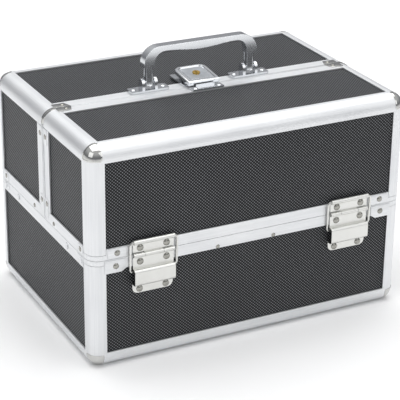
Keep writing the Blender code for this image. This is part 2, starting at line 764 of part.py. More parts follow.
def build_bracket(name, x, z, lid):
    foot = TOP + CLEAR
    length, width = BRACKET_LENGTH / 2, BRACKET_WIDTH / 2
    corner = BRACKET_CORNER
    ring = [(length - corner, width - corner, 0), (corner - length, width - corner, 90)]
    ring += [(corner - length, corner - width, 180), (length - corner, corner - width, 270)]
    bends = [point for cu, cv, a in ring for point in arc(cu, cv, corner, a, a + 90, 3)]
    points = [(x + u, HANDLE_Y + v) for u, v in bends]
    base = outline(name, "Z", points, foot, foot + BRACKET_BASE, CHROME)
    gap = LEG_WIDTH / 2 + EAR_GAP
    ear_foot = foot + BRACKET_BASE / 2
    for sx in ENDS.values():
        ear = arc(HANDLE_Y, z, EAR_RADIUS, 0, 180, 8)
        ear += [(HANDLE_Y - EAR_RADIUS, ear_foot), (HANDLE_Y + EAR_RADIUS, ear_foot)]
        low, high = sorted((x + sx * gap, x + sx * (gap + EAR)))
        join(base, outline(f"{name}_ear_{sx}", "X", ear, low, high))
    join(base, rod(f"{name}_pin", "X", (x, HANDLE_Y, z), HANDLE_PIN, 2 * gap + EAR))
    carry(lid, base)


# ---- Lock


def build_lock(front_lid, rear_lid):
    foot = TOP + CLEAR
    half = LOCK_WIDTH / 2
    plate_front = SPLIT_Y + 2 * CLEAR
    plate_top = foot + LOCK_PLATE
    base = block("lock_base", both(half), (plate_front, LOCK_REAR), (foot, plate_top), CHROME)
    axis = Vector((0, LEVER_AXIS_Y, TOP + LEVER_AXIS_RISE))
    for sx in ENDS.values():
        lug = arc(axis.y, axis.z, LUG_RADIUS, 0, 180, 8)
        lug_foot = foot + LOCK_PLATE / 2
        lug += [(axis.y - LUG_RADIUS, lug_foot), (axis.y + LUG_RADIUS, lug_foot)]
        low, high = sorted((sx * LUG_X, sx * (LUG_X + LUG)))
        join(base, outline(f"lock_lug_{sx}", "X", lug, low, high))
    cut(base, rod("lock_lug_bore", "X", axis, LEVER_PIN + CLEAR, LOCK_WIDTH))

    empty = pivot("lock_lever_pivot", axis)
    front, rear = LEVER_FRONT - axis.y, LEVER_REAR - axis.y
    wide, corner = LEVER_WIDTH / 2, LEVER_CORNER
    rise = LEVER_THICK - LUG_RADIUS / 2

    def shape(inset):
        bend = corner - inset
        left = arc(corner - wide, rear - corner, bend, 90, 180, 5)
        right = arc(wide - corner, rear - corner, bend, 0, 90, 5)
        return [(inset - wide, front + inset), (wide - inset, front + inset), *right, *left]

    low = rise - LEVER_THICK
    roof = rise - LEVER_WALL
    lever = outline("lock_lever", "Z", shape(0), low, rise, CHROME)
    hollow = outline("lock_lever_hollow", "Z", shape(LEVER_WALL), -LEVER_THICK, roof)
    cylinder_y = CYLINDER_Y - axis.y
    seat_place = (0, cylinder_y, low + LEVER_THICK / 2)
    seat = rod("lock_cylinder_seat", "Z", seat_place, CYLINDER + LEVER_WALL, LEVER_THICK - CLEAR)
    hook_y = (front + 2 * HOOK, front + 3 * HOOK)
    hook_z = (low - HOOK, roof + LEVER_WALL / 2)
    hook = block("lock_lever_hook", both(HOOK_WIDTH / 2), hook_y, hook_z)
    barrel = rod("lock_lever_barrel", "X", (0, 0, 0), LEVER_BARREL, 2 * (LUG_X - CLEAR))
    pin = rod("lock_lever_pin", "X", (0, 0, 0), LEVER_PIN, 2 * (LUG_X + LUG))
    hole_place = (0, cylinder_y, 0)
    hole = rod("lock_cylinder_hole", "Z", hole_place, CYLINDER + CLEAR, 4 * LEVER_THICK, sides=24)
    cut(lever, hollow)
    join(lever, seat, hook, barrel, pin)
    cut(lever, hole)
    for piece in (lever, hollow, seat, hook, barrel, pin, hole):
        piece.parent = empty
    empty.rotation_euler = (LEVER_TILT, 0, 0)
    cylinder_low = low + CLEAR
    cylinder = rod(
        "lock_cylinder",
        "Z",
        (0, 0, (cylinder_low + rise + LEVER_WALL / 2) / 2),
        CYLINDER,
        rise + LEVER_WALL / 2 - cylinder_low,
        BRASS,
        sides=24,
    )
    keyway = block("lock_keyway", both(KEYWAY), both(KEYWAY_REACH), (roof, FAR))
    cut(cylinder, keyway)
    for piece in (cylinder, keyway):
        piece.parent = empty
        piece.location = (0, cylinder_y, 0)

    catch_rear = LEVER_FRONT - 3 * CLEAR
    catch_front = SPLIT_Y - MEETING
    catch_y = (catch_front, catch_rear)
    catch_z = (foot, foot + CATCH_PLATE)
    catch = block("lock_catch", both(CATCH_WIDTH / 2), catch_y, catch_z, CHROME)
    bar_y = (catch_rear - CATCH_PLATE, catch_rear)
    bar_z = (foot + CATCH_PLATE / 2, foot + CATCH_BAR)
    bar = block("lock_catch_bar", both(CATCH_BAR_WIDTH / 2), bar_y, bar_z)
    join(catch, bar)
    carry(front_lid, catch)
    carry(rear_lid, base)
    empty.parent = rear_lid
    empty.location -= rear_lid.location


base_rim = build_base()
lids = {}
for side, sign in SIDES.items():
    lids[side], lid_panels = build_lid(side, sign)
    build_half(side, sign, base_rim, lid_panels)
    for end, sx in ENDS.items():
        build_hinge(f"{side}_{end}_hinge", sx * HINGE_X, sign, lids[side])
build_handle(lids["rear"])
build_lock(lids["front"], lids["rear"])
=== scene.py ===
# %% [markdown]
# # Makeup train case
# A train case is a box of thin black plastic walls held in aluminium extrusions. Its lid is split
# down the middle, and each half swings out and lifts two trays on arms. The solid model already
# has every moving part in its place, so this script loads it as a fixed frame and builds the looks
# around it.

# %% Load the frame
import json
from math import pi, radians

import bmesh
import bpy
from mathutils import Matrix, Vector

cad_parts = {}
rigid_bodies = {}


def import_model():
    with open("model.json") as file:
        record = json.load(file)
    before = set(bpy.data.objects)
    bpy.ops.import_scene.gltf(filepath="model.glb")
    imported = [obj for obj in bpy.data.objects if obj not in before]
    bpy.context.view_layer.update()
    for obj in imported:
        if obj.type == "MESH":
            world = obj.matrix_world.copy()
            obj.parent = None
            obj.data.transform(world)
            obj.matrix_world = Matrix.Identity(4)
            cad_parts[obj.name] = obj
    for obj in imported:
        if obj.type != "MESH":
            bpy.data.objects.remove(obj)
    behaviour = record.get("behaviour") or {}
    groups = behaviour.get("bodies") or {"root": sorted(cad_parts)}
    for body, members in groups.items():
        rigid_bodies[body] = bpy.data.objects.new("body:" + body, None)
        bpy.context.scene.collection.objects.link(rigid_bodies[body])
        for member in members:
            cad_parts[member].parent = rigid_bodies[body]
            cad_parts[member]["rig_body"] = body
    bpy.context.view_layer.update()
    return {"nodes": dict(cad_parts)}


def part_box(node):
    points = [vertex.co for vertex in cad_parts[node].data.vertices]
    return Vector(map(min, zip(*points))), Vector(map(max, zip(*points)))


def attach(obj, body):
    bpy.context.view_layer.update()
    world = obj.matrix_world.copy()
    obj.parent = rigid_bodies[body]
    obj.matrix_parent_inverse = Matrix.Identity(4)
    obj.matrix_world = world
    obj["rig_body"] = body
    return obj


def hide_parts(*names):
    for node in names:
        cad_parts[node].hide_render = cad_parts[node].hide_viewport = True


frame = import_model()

nodes = frame["nodes"]

# %% [markdown]
# ## Camera
# A long lens from about one and a half metres keeps the case's edges nearly parallel, as a
# catalogue picture does. The camera is turned by a heading, then tipped down, then rolled a
# little, so its matrix is those three turns in a row.

# %% Set up the camera
CAMERA_PLACE = Vector((-0.5970, -1.1648, 0.6640))
HEADING = radians(-27.26)
TIP_DOWN = radians(23.84)
ROLL = radians(0.71)
LENS = 142.3  # in mm, on film 36 mm wide
FILM = 36.0
lens = bpy.data.cameras.new("studio_camera")
lens.lens = LENS
lens.sensor_width = FILM
lens.clip_end = 50.0
camera = bpy.data.objects.new("studio_camera", lens)
bpy.context.scene.collection.objects.link(camera)
turn = Matrix.Rotation(HEADING, 4, "Z") @ Matrix.Rotation(pi / 2 - TIP_DOWN, 4, "X")
camera.matrix_world = Matrix.Translation(CAMERA_PLACE) @ turn @ Matrix.Rotation(ROLL, 4, "Z")
bpy.context.scene.camera = camera
print("camera", round(CAMERA_PLACE.length, 2), "m from the case")

# %% [markdown]
# ## Helpers for materials
# Colours are written as sRGB hex, the way a paint chart gives them. Blender's shaders want linear
# light, so one function converts them. A second function adds one node, with its settings and
# links.

# %% Colours and nodes


def linear(code):
    """An sRGB hex colour as linear RGBA."""
    parts = [int(code[i : i + 2], 16) / 255 for i in (1, 3, 5)]
    lit = [p / 12.92 if p <= 0.04045 else ((p + 0.055) / 1.055) ** 2.4 for p in parts]
    return (*lit, 1.0)


def add_node(tree, kind, inputs, **settings):
    """Adds a node. Each input is a socket to link from, or a value to set."""
    made = tree.nodes.new("ShaderNode" + kind)
    for key, value in settings.items():
        setattr(made, key, value)
    for key, value in inputs.items():
        if isinstance(value, bpy.types.NodeSocket):
            tree.links.new(value, made.inputs[key])
        else:
            made.inputs[key].default_value = value
    return made.outputs


def new_material(name, metallic, roughness):
    """A Principled material, as its material, node tree, shader and object coordinates."""
    made = bpy.data.materials.new(name)
    made.use_nodes = True
    tree = made.node_tree
    shader = tree.nodes["Principled BSDF"]
    shader.inputs["Metallic"].default_value = metallic
    shader.inputs["Roughness"].default_value = roughness
    return made, tree, shader, add_node(tree, "TexCoord", {})["Object"]


print("mid grey is", round(linear("#808080")[0], 3), "in linear light")

# %% [markdown]
# ## Floor and light
# A pale floor far wider than the view gives a plain backdrop. Polished metal shows what is around
# it, so the sky that follows is a soft grey gradient rather than one white.

# %% Floor
FLOOR_SIZE = 8.0
FLOOR_DROP = 0.0002  # just under the case, so that their faces don't flicker
PAPER_CLOUD = 0.1667  # faint patches in the paper
floor_shape = bmesh.new()
bmesh.ops.create_grid(floor_shape, x_segments=1, y_segments=1, size=FLOOR_SIZE)
bmesh.ops.translate(floor_shape, vec=(0, 0, -FLOOR_DROP), verts=floor_shape.verts)
floor_mesh = bpy.data.meshes.new("studio_floor")
floor_shape.to_mesh(floor_mesh)
floor_shape.free()
floor = bpy.data.objects.new("studio_floor", floor_mesh)
bpy.context.scene.collection.objects.link(floor)
paper, tree, shader, place = new_material("matt_white_paper", 0.0, 0.9)
patches = {"Vector": place, "Scale": 1 / PAPER_CLOUD, "Detail": 2.0}
fibre = add_node(tree, "TexNoise", patches)["Fac"]
tone = add_node(
    tree, "Mix", {"Factor": fibre, 6: linear("#f0f0f0"), 7: linear("#f6f6f6")}, data_type="RGBA"
)[2]
tree.links.new(tone, shader.inputs["Base Color"])
floor_mesh.materials.append(paper)
print("floor", 2 * FLOOR_SIZE, "m wide")

# %% [markdown]
# ## Sky and soft boxes
# The sky is darkest just above the horizon, which gives the rounded bars a grey edge, and palest
# overhead. The soft box above gives most of the light, and the two at the sides lift the walls.

# %% Sky and soft boxes
sky = bpy.data.worlds.new("studio_sky")
bpy.context.scene.world = sky
sky.use_nodes = True
tree = sky.node_tree
direction = add_node(tree, "TexCoord", {})["Generated"]
height = add_node(tree, "SeparateXYZ", {0: direction})["Z"]
shade = add_node(tree, "ValToRGB", {"Fac": height})[0]
ramp = tree.nodes[-1].color_ramp
ramp.elements[0].position = 0.0
ramp.elements[0].color = linear("#c4c5c7")
ramp.elements[1].position = 1.0
ramp.elements[1].color = linear("#eeeeee")
for rise, tint in ((0.05, "#85868a"), (0.30, "#a9aaad"), (0.55, "#d4d5d7")):
    ramp.elements.new(rise).color = linear(tint)
background = tree.nodes["Background"]
tree.links.new(shade, background.inputs["Color"])
background.inputs["Strength"].default_value = 0.9

SOFT_BOXES = {  # place, width and power
    "soft_box_above": ((0.1, 0.4, 2.5), 3.2, 62.0),
    "soft_box_left": ((-2.6, -1.0, 1.5), 2.0, 13.0),
    "soft_box_front": ((1.2, -2.8, 1.9), 2.2, 17.0),
}
AIM = Vector((0, 0, 0.1))
for name, (spot, size, power) in SOFT_BOXES.items():
    light = bpy.data.lights.new(name, "AREA")
    light.size = size
    light.energy = power
    lamp = bpy.data.objects.new(name, light)
    lamp.location = spot
    lamp.rotation_euler = (AIM - lamp.location).to_track_quat("-Z", "Y").to_euler()
    bpy.context.scene.collection.objects.link(lamp)
bpy.context.scene.view_settings.view_transform = "Standard"
print(len(SOFT_BOXES), "soft boxes")

# %% [markdown]
# ## Anodised aluminium
# The extrusions are drawn through a die, which leaves fine lines along their length, and then
# anodised, which makes the metal a pale satin that spreads a highlight wide. The lines follow each
# bar, so the noise is stretched along the bar's own direction. Which way a bar runs is worked out
# from where it is: corner posts and stiles stand up, the rest run along X or Y.

# %% Anodised aluminium
FLANGE_X = 0.136  # from the middle to the flange of the end extrusions
FLANGE_Y = 0.091  # and to that of the front and rear ones
LINE_SPACING = 0.0009  # wider than the real lines, so that they show
LINE_LENGTH = 0.060
LINE_DEPTH = 0.0001
FINE = 1 / LINE_SPACING
LONG = 1 / LINE_LENGTH
METAL_CLOUD = 0.0455  # patches where the anodising took unevenly
RIDGE = 0.0040  # spacing of the drawn ridges on the narrow strips
RIDGE_WEIGHT = 1.5  # how much deeper the ridges are than the lines


def anodised_aluminium(name, upright, ridged=False):
    """Upright says which bars at the ends stand up: corners, all or none."""
    made, tree, shader, place = new_material(name, 1.0, 0.4)
    split = add_node(tree, "SeparateXYZ", {0: place})
    off_x = add_node(tree, "Math", {0: split["X"]}, operation="ABSOLUTE")[0]
    off_y = add_node(tree, "Math", {0: split["Y"]}, operation="ABSOLUTE")[0]
    at_end = add_node(tree, "Math", {0: off_x, 1: FLANGE_X}, operation="GREATER_THAN")[0]
    at_face = add_node(tree, "Math", {0: off_y, 1: FLANGE_Y}, operation="GREATER_THAN")[0]
    stands = {"corners": at_face, "all": 1.0, "none": 0.0}[upright]
    up = add_node(tree, "Math", {0: at_end, 1: stands}, operation="MULTIPLY")[0]
    back = add_node(tree, "Math", {0: at_end, 1: up}, operation="SUBTRACT")[0]
    across = add_node(tree, "Math", {0: 1.0, 1: at_end}, operation="SUBTRACT")[0]
    scales = [
        add_node(tree, "Math", {0: way, 1: LONG - FINE, 2: FINE}, operation="MULTIPLY_ADD")[0]
        for way in (across, back, up)
    ]
    scale = add_node(tree, "CombineXYZ", dict(enumerate(scales)))[0]
    along = add_node(tree, "VectorMath", {0: place, 1: scale}, operation="MULTIPLY")[0]
    lines = add_node(tree, "TexNoise", {"Vector": along, "Scale": 1.0, "Detail": 2.0})["Fac"]
    patches = {"Vector": place, "Scale": 1 / METAL_CLOUD, "Detail": 2.0}
    cloud = add_node(tree, "TexNoise", patches)["Fac"]
    both = add_node(tree, "Math", {0: lines, 1: cloud}, operation="MULTIPLY")[0]
    colour = add_node(
        tree, "Mix", {"Factor": both, 6: linear("#ebeced"), 7: linear("#cacccf")}, data_type="RGBA"
    )[2]
    satin = add_node(tree, "MapRange", {"Value": lines, "To Min": 0.42, "To Max": 0.58})[0]
    relief = lines
    if ridged:
        narrow = add_node(tree, "Math", {0: split["Y"], 1: 2 * pi / RIDGE}, operation="MULTIPLY")[0]
        wave = add_node(tree, "Math", {0: narrow}, operation="SINE")[0]
        weighed = {0: wave, 1: RIDGE_WEIGHT, 2: lines}
        relief = add_node(tree, "Math", weighed, operation="MULTIPLY_ADD")[0]
    bump = add_node(tree, "Bump", {"Height": relief, "Strength": 0.30, "Distance": LINE_DEPTH})[0]
    tree.links.new(colour, shader.inputs["Base Color"])
    tree.links.new(satin, shader.inputs["Roughness"])
    tree.links.new(bump, shader.inputs["Normal"])
    return made


edge_bar = anodised_aluminium("anodised_aluminium_edge", "corners")
rim_bar = anodised_aluminium("anodised_aluminium_rim", "none")
strip_bar = anodised_aluminium("anodised_aluminium_strip", "all", ridged=True)
print("anodised aluminium in three directions")

# %% [markdown]
# ## Embossed black plastic
# The walls are faced with black ABS sheet rolled with a fine staggered grain. Two cosines
# multiplied give exactly such a staggered field of bumps. The sheet is on faces that look three
# ways, so the same finish is made once for each pair of directions. The tops of the bumps are
# painted paler, a painted highlight where light grazes the grain.

# %% Embossed ABS
GRAIN_WIDE = 0.0030
GRAIN_HIGH = 0.0028
GRAIN_DEPTH = 0.0003
SHEET_CLOUD = 0.0556  # patches where the painted highlight on the bumps is stronger or weaker, and the gloss with it


def embossed_abs(name, wide, high):
    """The grain runs on two of the object's axes."""
    made, tree, shader, place = new_material(name, 0.0, 0.42)
    shader.inputs["Specular IOR Level"].default_value = 0.22
    split = add_node(tree, "SeparateXYZ", {0: place})
    waves = []
    for axis, period in ((wide, GRAIN_WIDE), (high, GRAIN_HIGH)):
        turns = {0: split[axis], 1: 2 * pi / period}
        angle = add_node(tree, "Math", turns, operation="MULTIPLY")[0]
        waves.append(add_node(tree, "Math", {0: angle}, operation="COSINE")[0])
    grain = add_node(tree, "Math", {0: waves[0], 1: waves[1]}, operation="MULTIPLY")[0]
    dots = add_node(
        tree,
        "MapRange",
        {"Value": grain, "From Min": 0.0, "From Max": 0.9},
        interpolation_type="SMOOTHSTEP",
    )[0]
    patches = {"Vector": place, "Scale": 1 / SHEET_CLOUD, "Detail": 3.0}
    cloud = add_node(tree, "TexNoise", patches)["Fac"]
    painted_highlight_patches = add_node(tree, "MapRange", {"Value": cloud, "To Min": 0.7, "To Max": 1.0})[0]
    # The pale tops of the bumps are a painted highlight, stronger in some patches than others.
    pale = add_node(tree, "Math", {0: dots, 1: painted_highlight_patches}, operation="MULTIPLY")[0]
    colour = add_node(
        tree, "Mix", {"Factor": pale, 6: linear("#060607"), 7: linear("#85878b")}, data_type="RGBA"
    )[2]
    gloss = add_node(tree, "MapRange", {"Value": cloud, "To Min": 0.44, "To Max": 0.54})[0]
    bump = add_node(tree, "Bump", {"Height": dots, "Strength": 0.5, "Distance": GRAIN_DEPTH})[0]
    tree.links.new(colour, shader.inputs["Base Color"])
    tree.links.new(gloss, shader.inputs["Roughness"])
    tree.links.new(bump, shader.inputs["Normal"])
    return made


face_sheet = embossed_abs("embossed_abs_face", "X", "Z")
end_sheet = embossed_abs("embossed_abs_end", "Y", "Z")
flat_sheet = embossed_abs("embossed_abs_flat", "X", "Y")
print("grain", 1000 * GRAIN_WIDE, "by", 1000 * GRAIN_HIGH, "mm")

# %% [markdown]
# ## Plated metals and moulded plastic
# The hinges and corners are steel plated with nickel, which is bright but slightly warm and
# cloudy. The handle and the lock are chromed, which is bluer and sharper. Cloudy noise in the
# roughness keeps each from looking like a perfect mirror. The trays are moulded with a fine
# sand-like grain. All of them are one recipe with other numbers, so one function makes them.

# %% Plated metals and moulded plastic
CAST_DEPTH = 0.0002


def mottled(name, metallic, smooth, rough, dark, pale, grain, relief):
    """A finish whose tone, gloss and surface vary with one noise, grain across in metres."""
    made, tree, shader, place = new_material(name, metallic, rough)
    cloud = add_node(tree, "TexNoise", {"Vector": place, "Scale": 1 / grain, "Detail": 4.0})["Fac"]
    colour = add_node(
        tree, "Mix", {"Factor": cloud, 6: linear(dark), 7: linear(pale)}, data_type="RGBA"
    )[2]
    gloss = add_node(tree, "MapRange", {"Value": cloud, "To Min": smooth, "To Max": rough})[0]
    bump = add_node(tree, "Bump", {"Height": cloud, "Strength": relief, "Distance": CAST_DEPTH})[0]
    tree.links.new(colour, shader.inputs["Base Color"])
    tree.links.new(gloss, shader.inputs["Roughness"])
    tree.links.new(bump, shader.inputs["Normal"])
    return made


nickel = mottled("nickel_plated_steel", 1.0, 0.28, 0.36, "#d2d2ce", "#e0e0dd", 0.016, 0.008)
polished_nickel = mottled("polished_nickel", 1.0, 0.05, 0.12, "#bcbcb9", "#d6d6d4", 0.012, 0.01)
rivet_steel = mottled("rolled_rivet_steel", 1.0, 0.20, 0.32, "#7f7e78", "#b6b5af", 0.003, 0.04)
chrome = mottled("chromed_zinc", 1.0, 0.12, 0.18, "#d2d4d7", "#e6e8ea", 0.014, 0.01)
zinc = mottled("zinc_plated_steel", 1.0, 0.28, 0.42, "#a4a8ad", "#c9ccd0", 0.004, 0.05)
brass = mottled("turned_brass", 1.0, 0.16, 0.30, "#b08a34", "#e0be66", 0.002, 0.05)
tray_plastic = mottled("grained_abs", 0.0, 0.42, 0.58, "#1b1c1e", "#2b2c2f", 0.0008, 0.35)
print("seven plated and moulded finishes")

# %% [markdown]
# ## Smooth copies of the solids
# The solids are made of flat facets, which show on polished metal. A copy with its loose triangles
# merged can be shaded smooth, and the Weighted Normal modifier keeps its large flats flat. The
# copy stands for the node, and rides on the same body.

# %% Placing and smoothing pieces
SHARP = radians(32)  # edges that fold more than this stay hard
FLAT = radians(0.5)  # faces that fold less than this become one
CORNER = radians(50)  # edges that fold more than this are softened
MERGE = 2e-6


def place_piece(shape, name, finish, body):
    """Makes a bmesh a piece that rides on a body."""
    mesh = bpy.data.meshes.new(name)
    shape.to_mesh(mesh)
    shape.free()
    mesh.materials.append(finish)
    piece = bpy.data.objects.new(name, mesh)
    bpy.context.scene.collection.objects.link(piece)
    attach(piece, body)
    return piece


def shade_smooth(shape):
    for face in shape.faces:
        face.smooth = True
    for edge in shape.edges:
        folded = len(edge.link_faces) != 2 or edge.calc_face_angle(0.0) > SHARP
        edge.smooth = not folded


def merged_copy(node):
    shape = bmesh.new()
    shape.from_mesh(nodes[node].data)
    bmesh.ops.remove_doubles(shape, verts=shape.verts, dist=MERGE)
    bmesh.ops.dissolve_limit(shape, angle_limit=FLAT, verts=shape.verts, edges=shape.edges)
    return shape


def stand_for(node, shape, finish, edge=0.0):
    """The shape is shown in place of a node, with its edges softened by a width in metres."""
    shade_smooth(shape)
    piece = place_piece(shape, node + "_shell", finish, nodes[node]["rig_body"])
    if edge:
        soft = piece.modifiers.new("soft_edges", "BEVEL")
        soft.width = edge
        soft.segments = 2
        soft.limit_method = "ANGLE"
        soft.angle_limit = CORNER
    flats = piece.modifiers.new("flat_faces", "WEIGHTED_NORMAL")
    flats.keep_sharp = True
    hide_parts(node)
    return piece


print("edges that fold over", round(SHARP / radians(1)), "degrees stay hard")

# %% [markdown]
# ## A finish for every solid
# A solid's name says what it is, so one function picks its finish, a name for its slot, and how
# far its edges are softened. The wall panels are flat and keep their own mesh. The handle, the
# lock's lever and the hinges' lower leaves get pieces of their own further down.

# %% A finish for every solid
TRAY_EDGE = 0.0004


def finish_of(node):
    """A node's finish, a name for its slot, and the width of its softened edges."""
    if "panel" in node:
        sheet = flat_sheet if "top" in node or "floor" in node else face_sheet
        if "left" in node or "right" in node:
            sheet = end_sheet
        return sheet, "panels", 0.0
    if "edge_frame" in node:
        return edge_bar, "extrusions", 0.0
    if node.endswith("_rim"):
        return rim_bar, "extrusions", 0.0
    if "meeting_frame" in node:
        return strip_bar, "extrusions", 0.0
    if "corner_cap" in node:
        return polished_nickel, "corner_caps", 0.0
    if "hinge" in node:
        return nickel, "hinges", 0.0
    if "arm" in node:
        return zinc, "arms", 0.0
    if "tray" in node:
        return tray_plastic, "trays", TRAY_EDGE
    if node == "lock_cylinder":
        return brass, "key_cylinder", 0.0
    return chrome, "handle" if "handle" in node else "lock", 0.0


OWN_PIECE = ("handle", "lock_lever")
copied = 0
for node, solid in nodes.items():
    finish, slot, edge = finish_of(node)
    solid.data.materials.clear()
    solid.data.materials.append(finish)
    if "panel" in node or node in OWN_PIECE or "base_leaf" in node:
        continue
    stand_for(node, merged_copy(node), finish, edge)
    copied += 1
print(copied, "smooth copies")

# %% [markdown]
# ## Shaping helpers
# A bevel's defaults in bmesh differ from the editor's, so one function sets them for every piece.
# Two more cover the moves that come back below: pushing a face out into a block, and spinning a
# section round an axis.

# %% Shaping helpers


def bevel(shape, parts, width, segments, affect="EDGES"):
    """Rounds edges, or the corners of a flat outline when affect is VERTICES."""
    bmesh.ops.bevel(
        shape,
        geom=parts,
        offset=width,
        offset_type="OFFSET",
        segments=segments,
        profile=0.5,
        affect=affect,
        material=-1,
    )


def push_out(shape, face, move):
    """Extrudes a face by a vector, and gives back the faces that moved."""
    grown = bmesh.ops.extrude_face_region(shape, geom=[face])["geom"]
    moved = [part for part in grown if isinstance(part, bmesh.types.BMVert)]
    bmesh.ops.translate(shape, vec=move, verts=moved)
    return [part for part in grown if isinstance(part, bmesh.types.BMFace)]


def spin(shape, section, centre, axis, angle, steps):
    """Spins a section round an axis. The ends of a full turn are merged."""
    bmesh.ops.spin(
        shape,
        geom=section,
        cent=centre,
        axis=axis,
        angle=angle,
        steps=steps,
        use_merge=angle == 2 * pi,
        use_duplicate=False,
    )


SIDES = {"front": -1, "rear": 1}
ENDS = {"left": -1, "right": 1}
print("bevel, push out and spin, for", len(SIDES), "sides and", len(ENDS), "ends")

# %% [markdown]
# ## Hinge leaves with rounded feet
# The lower leaf of each hinge is pressed from sheet, with a raised channel that the ring's leg
# slides in, and its foot has two rounded corners. Only the two short edges at the foot are
# bevelled.

# %% Hinge leaves
FOOT_CORNER = 0.0050
NEAR = 1e-5  # two places this close count as one
for side in SIDES:
    for end in ENDS:
        node = f"{side}_{end}_hinge_base_leaf"
        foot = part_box(node)[0].z
        shape = merged_copy(node)
        corners = [
            edge
            for edge in shape.edges
            if all(vert.co.z < foot + NEAR for vert in edge.verts)
            and abs(edge.verts[0].co.x - edge.verts[1].co.x) < NEAR
        ]
        bevel(shape, corners, FOOT_CORNER, 6)
        stand_for(node, shape, nickel)
        print(node, len(corners), "corners rounded")

# %% [markdown]
# ## Rivets
# Every hinge, plate and strip is held by domed rivets. Their places are noted here and in the next
# two steps, each with the way that it looks and its size, and they are made together after that.

# %% Rivets of the hinges and the rims
END_X = 0.150  # from the middle of the case to its ends
FACE_Y = 0.105  # and to its front and rear faces
LEAF_FACE = 0.1062  # and to the outer face of the hinges' leaves
FOOT_FACE = 0.1047  # and to that of their feet
HINGE_X = 0.094
HINGE_RIVET_STEP = 0.012
LID_LEAF_RIVET_Z = 0.1057
BASE_LEAF_RIVET_Z = 0.0932
FOOT_RIVET_RISE = 0.0036
RIM_RIVETS_X = (-0.0335, 0.0200)
RIM_RIVET_Z = 0.0912
LID_END_RIVET_Y = {"front": -0.0276, "rear": 0.0163}
LID_END_RIVET_Z = 0.1030

HINGE_RIVET = (0.0031, 0.0013)  # radius and rise
PLATE_RIVET = (0.0027, 0.0011)
SMALL_RIVET = (0.0019, 0.0009)
END_RIVET = (0.0024, 0.0006)
WAYS = {
    "front": Vector((0, -1, 0)),
    "rear": Vector((0, 1, 0)),
    "left": Vector((-1, 0, 0)),
    "right": Vector((1, 0, 0)),
    "up": Vector((0, 0, 1)),
}
rivets = {}


def add_rivet(body, spot, way, size):
    rivets.setdefault(body, []).append((Vector(spot), WAYS[way], size))


for side, sign in SIDES.items():
    lid = f"{side}_lid"
    for end, sx in ENDS.items():
        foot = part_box(f"{side}_{end}_hinge_base_leaf")[0].z
        for step in (-HINGE_RIVET_STEP, HINGE_RIVET_STEP):
            x = sx * HINGE_X + step
            add_rivet(lid, (x, sign * LEAF_FACE, LID_LEAF_RIVET_Z), side, HINGE_RIVET)
            add_rivet("base", (x, sign * LEAF_FACE, BASE_LEAF_RIVET_Z), side, HINGE_RIVET)
            add_rivet("base", (x, sign * FOOT_FACE, foot + FOOT_RIVET_RISE), side, HINGE_RIVET)
    for x in RIM_RIVETS_X:
        add_rivet("base", (x, sign * FACE_Y, RIM_RIVET_Z), side, SMALL_RIVET)
    for end, sx in ENDS.items():
        spot = (sx * END_X, LID_END_RIVET_Y[side], LID_END_RIVET_Z)
        add_rivet(lid, spot, end, SMALL_RIVET)
print({body: len(found) for body, found in rivets.items()}, "rivets noted")

# %% [markdown]
# ## Corner plates
# Where a strip meets a post, a small pressed plate laps the joint, with a rivet. Each is drawn as
# an outline on the face, given a thickness, and its edges are softened. The ends of the case have
# less room outside them, so their plates are thinner.

# %% Plates at the ends of the rims
PLATE = 0.0006
END_PLATE = 0.0003
PLATE_EDGE = 0.0001
UPPER_PLATE = ((0.1345, 0.1002), (0.1160, 0.1002), (0.1160, 0.1090), (0.1345, 0.1090))
LOWER_PLATE = (
    (0.1375, 0.0985),
    (0.1180, 0.0985),
    (0.1180, 0.0900),
    (0.1225, 0.0872),
    (0.1375, 0.0872),
)
UPPER_TAB = (0.1006, 0.1086)  # from the split of base and lid to the far edge
LOWER_TAB = (0.0985, 0.0905)
TAB_OUT, TAB_IN, TAB_TIP = 0.0905, 0.0790, 0.0815
TAB_RIVET = (0.0850, 0.1045)
UPPER_PLATE_RIVET = (0.1262, 0.1047)
LOWER_PLATE_RIVET = (0.1275, 0.0930)


def corner_plate(name, body, way, points, finish, thickness=PLATE):
    shape = bmesh.new()
    outline = shape.faces.new([shape.verts.new(point) for point in points])
    push_out(shape, outline, WAYS[way] * thickness)
    bmesh.ops.recalc_face_normals(shape, faces=shape.faces)
    bevel(shape, shape.edges[:], PLATE_EDGE, 2)
    shade_smooth(shape)
    return place_piece(shape, name, finish, body)


plates = 0
for side, sign in SIDES.items():
    lid = f"{side}_lid"
    face = sign * FACE_Y
    proud = face + sign * PLATE
    for end, sx in ENDS.items():
        for part, body, outline in (("upper", lid, UPPER_PLATE), ("lower", "base", LOWER_PLATE)):
            spots = [(sx * across, face, height) for across, height in outline]
            corner_plate(f"{side}_{end}_{part}_plate", body, side, spots, rim_bar)
            plates += 1
        for part, body, (low, high) in (("upper", lid, UPPER_TAB), ("lower", "base", LOWER_TAB)):
            middle = (low + high) / 2
            outline = (
                (TAB_OUT, low),
                (TAB_IN, low),
                (TAB_IN, middle),
                (TAB_TIP, high),
                (TAB_OUT, high),
            )
            spots = [(sx * END_X, sign * across, height) for across, height in outline]
            corner_plate(f"{side}_{end}_{part}_end_plate", body, end, spots, rim_bar, END_PLATE)
            plates += 1
        across, height = TAB_RIVET
        add_rivet(lid, (sx * (END_X + END_PLATE), sign * across, height), end, END_RIVET)
        across, height = UPPER_PLATE_RIVET
        add_rivet(lid, (sx * across, proud, height), side, PLATE_RIVET)
        across, height = LOWER_PLATE_RIVET
        add_rivet("base", (sx * across, proud, height), side, PLATE_RIVET)
print(plates, "rim plates")

# %% [markdown]
# ## Plates and lips at the split
# The lids meet a little in front of the middle. At both ends of the meeting strips, and up the
# stiles below them, more plates cover the joints, and each strip and stile has a narrow raised lip
# along the split. The same outline function makes them all.

